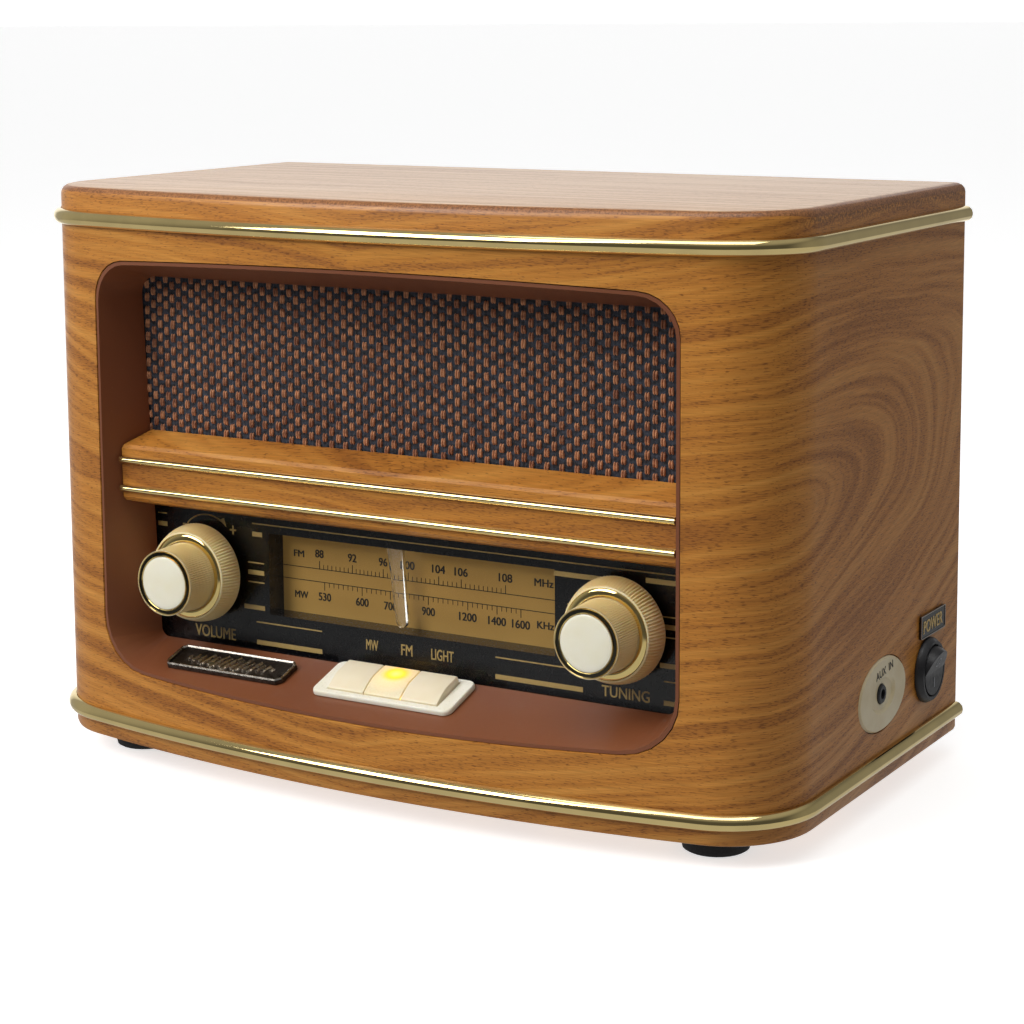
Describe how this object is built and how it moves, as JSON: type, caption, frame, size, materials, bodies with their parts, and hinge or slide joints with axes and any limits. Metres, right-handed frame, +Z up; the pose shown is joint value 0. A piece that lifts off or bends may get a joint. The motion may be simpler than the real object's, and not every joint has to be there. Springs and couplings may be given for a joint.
{
  "type": "tabletop radio",
  "caption": "Retro tabletop radio: bowed wooden cabinet with brass bands, cloth grille, slide-rule dial with pointer, two-tier knobs, keys and side switch.",
  "frame": {"origin": "on the table, under the middle of the body's box", "axes": "front faces -Y, +X is the listener's right, +Z up"},
  "size_m": [0.3095, 0.1762, 0.2112],
  "materials": {
    "front_wood": "satin lacquer",
    "top_wood": "satin lacquer",
    "board": "raw board",
    "back_board": "stained board",
    "brown_paint": "satin",
    "grille_cloth": "woven",
    "brass": "polished",
    "clear": "polished",
    "black_gloss": "gloss",
    "scale": "satin",
    "cord": "matt",
    "ivory": "semi-gloss",
    "steel": "satin",
    "bronze": "antique",
    "black_plastic": "satin",
    "rubber": "matt",
    "circuit": "solder mask",
    "ferrite": "matt",
    "film": "gloss"
  },
  "bodies": {
    "cabinet": {"cabinet_shell": "front_wood", "cabinet_top": "top_wood", "cabinet_bottom": "front_wood", "back_panel": "back_board", "recess_frame": "brown_paint", "baffle_board": "board", "grille_cloth": "grille_cloth", "cross_bar": "front_wood", "trim_band_top": "brass", "trim_band_bottom": "brass", "bar_strip_upper": "brass", "bar_strip_lower": "brass", "dial_lens": "clear", "dial_mask": "black_gloss", "scale_plate": "scale", "dial_cord": "cord", "tuning_capacitor": "film", "dial_chassis": "steel", "volume_control": "steel", "button_frame": "ivory", "switch_bank": "circuit", "badge_plate": "bronze", "aux_plate": "ivory", "aux_jack": "black_plastic", "power_bezel": "black_plastic", "power_label": "black_gloss", "foot_front_left": "rubber", "foot_front_right": "rubber", "foot_back_left": "rubber", "foot_back_right": "rubber", "main_board": "circuit", "transformer": "steel", "ferrite_aerial": "ferrite", "speaker_left": "black_plastic", "speaker_right": "black_plastic", "mains_inlet": "black_plastic", "antenna_gland": "rubber", "back_screw_low_left": "steel", "back_screw_high_left": "steel", "back_screw_low_right": "steel", "back_screw_high_right": "steel"},
    "volume_control_knob": {"volume_knob": "ivory", "volume_knob_ring": "brass", "volume_knob_bezel": "brass", "volume_knob_cap": "ivory", "volume_shaft": "steel"},
    "tuning_control_knob": {"tuning_knob": "ivory", "tuning_knob_ring": "brass", "tuning_knob_bezel": "brass", "tuning_knob_cap": "ivory", "tuning_shaft": "steel"},
    "pointer": {"dial_pointer": "clear", "pointer_carriage": "black_plastic"},
    "drum": {"tuning_drum": "ivory"},
    "pulley_left": {"cord_pulley_left": "ivory"},
    "pulley_right": {"cord_pulley_right": "ivory"},
    "key_mw": {"button_mw": "ivory"},
    "key_fm": {"button_fm": "ivory"},
    "key_light": {"button_light": "ivory"},
    "rocker": {"power_rocker": "black_plastic"}
  },
  "joints": [
    {"name": "volume_turn", "type": "hinge", "parent": "cabinet", "child": "volume_control_knob", "pos_m": [-0.0862, -0.0571, 0.0709], "axis": [0, 1, 0], "range_deg": [-150, 150]},
    {"name": "tuning_turn", "type": "hinge", "parent": "cabinet", "child": "tuning_control_knob", "pos_m": [0.0862, -0.0571, 0.0709], "axis": [0, 1, 0], "range_deg": [-500, 600]},
    {"name": "pointer_slide", "type": "slide", "parent": "cabinet", "child": "pointer", "axis": [1, 0, 0], "range_m": [-0.0411, 0.0493]},
    {"name": "drum_turn", "type": "hinge", "parent": "cabinet", "child": "drum", "pos_m": [0.008, -0.0389, 0.0595], "axis": [0, 1, 0], "range_deg": [-82.5, 99]},
    {"name": "pulley_left_turn", "type": "hinge", "parent": "cabinet", "child": "pulley_left", "pos_m": [-0.07, -0.0389, 0.088], "axis": [0, 1, 0], "range_deg": [-352, 422]},
    {"name": "pulley_right_turn", "type": "hinge", "parent": "cabinet", "child": "pulley_right", "pos_m": [0.07, -0.0389, 0.088], "axis": [0, 1, 0], "range_deg": [-352, 422]},
    {"name": "key_mw_press", "type": "slide", "parent": "cabinet", "child": "key_mw", "axis": [0, 0.3039, -0.9527], "range_m": [0, 0.0015], "stiffness_N_per_m": 400, "springref_m": -0.001},
    {"name": "key_fm_press", "type": "slide", "parent": "cabinet", "child": "key_fm", "axis": [0, 0.3039, -0.9527], "range_m": [0, 0.0015], "stiffness_N_per_m": 400, "springref_m": -0.001},
    {"name": "key_light_press", "type": "slide", "parent": "cabinet", "child": "key_light", "axis": [0, 0.3039, -0.9527], "range_m": [0, 0.0015], "stiffness_N_per_m": 400, "springref_m": -0.001},
    {"name": "rocker_tilt", "type": "hinge", "parent": "cabinet", "child": "rocker", "pos_m": [0.1514, 0.0575, 0.0385], "axis": [0, -1, 0], "range_deg": [0, 24]}
  ],
  "couplings": [
    {"joint": "pointer_slide", "follows": "tuning_turn", "m_per_rad": 0.0047},
    {"joint": "drum_turn", "follows": "tuning_turn", "ratio": 0.16376},
    {"joint": "pulley_left_turn", "follows": "tuning_turn", "ratio": 0.70149},
    {"joint": "pulley_right_turn", "follows": "tuning_turn", "ratio": 0.70149}
  ]
}
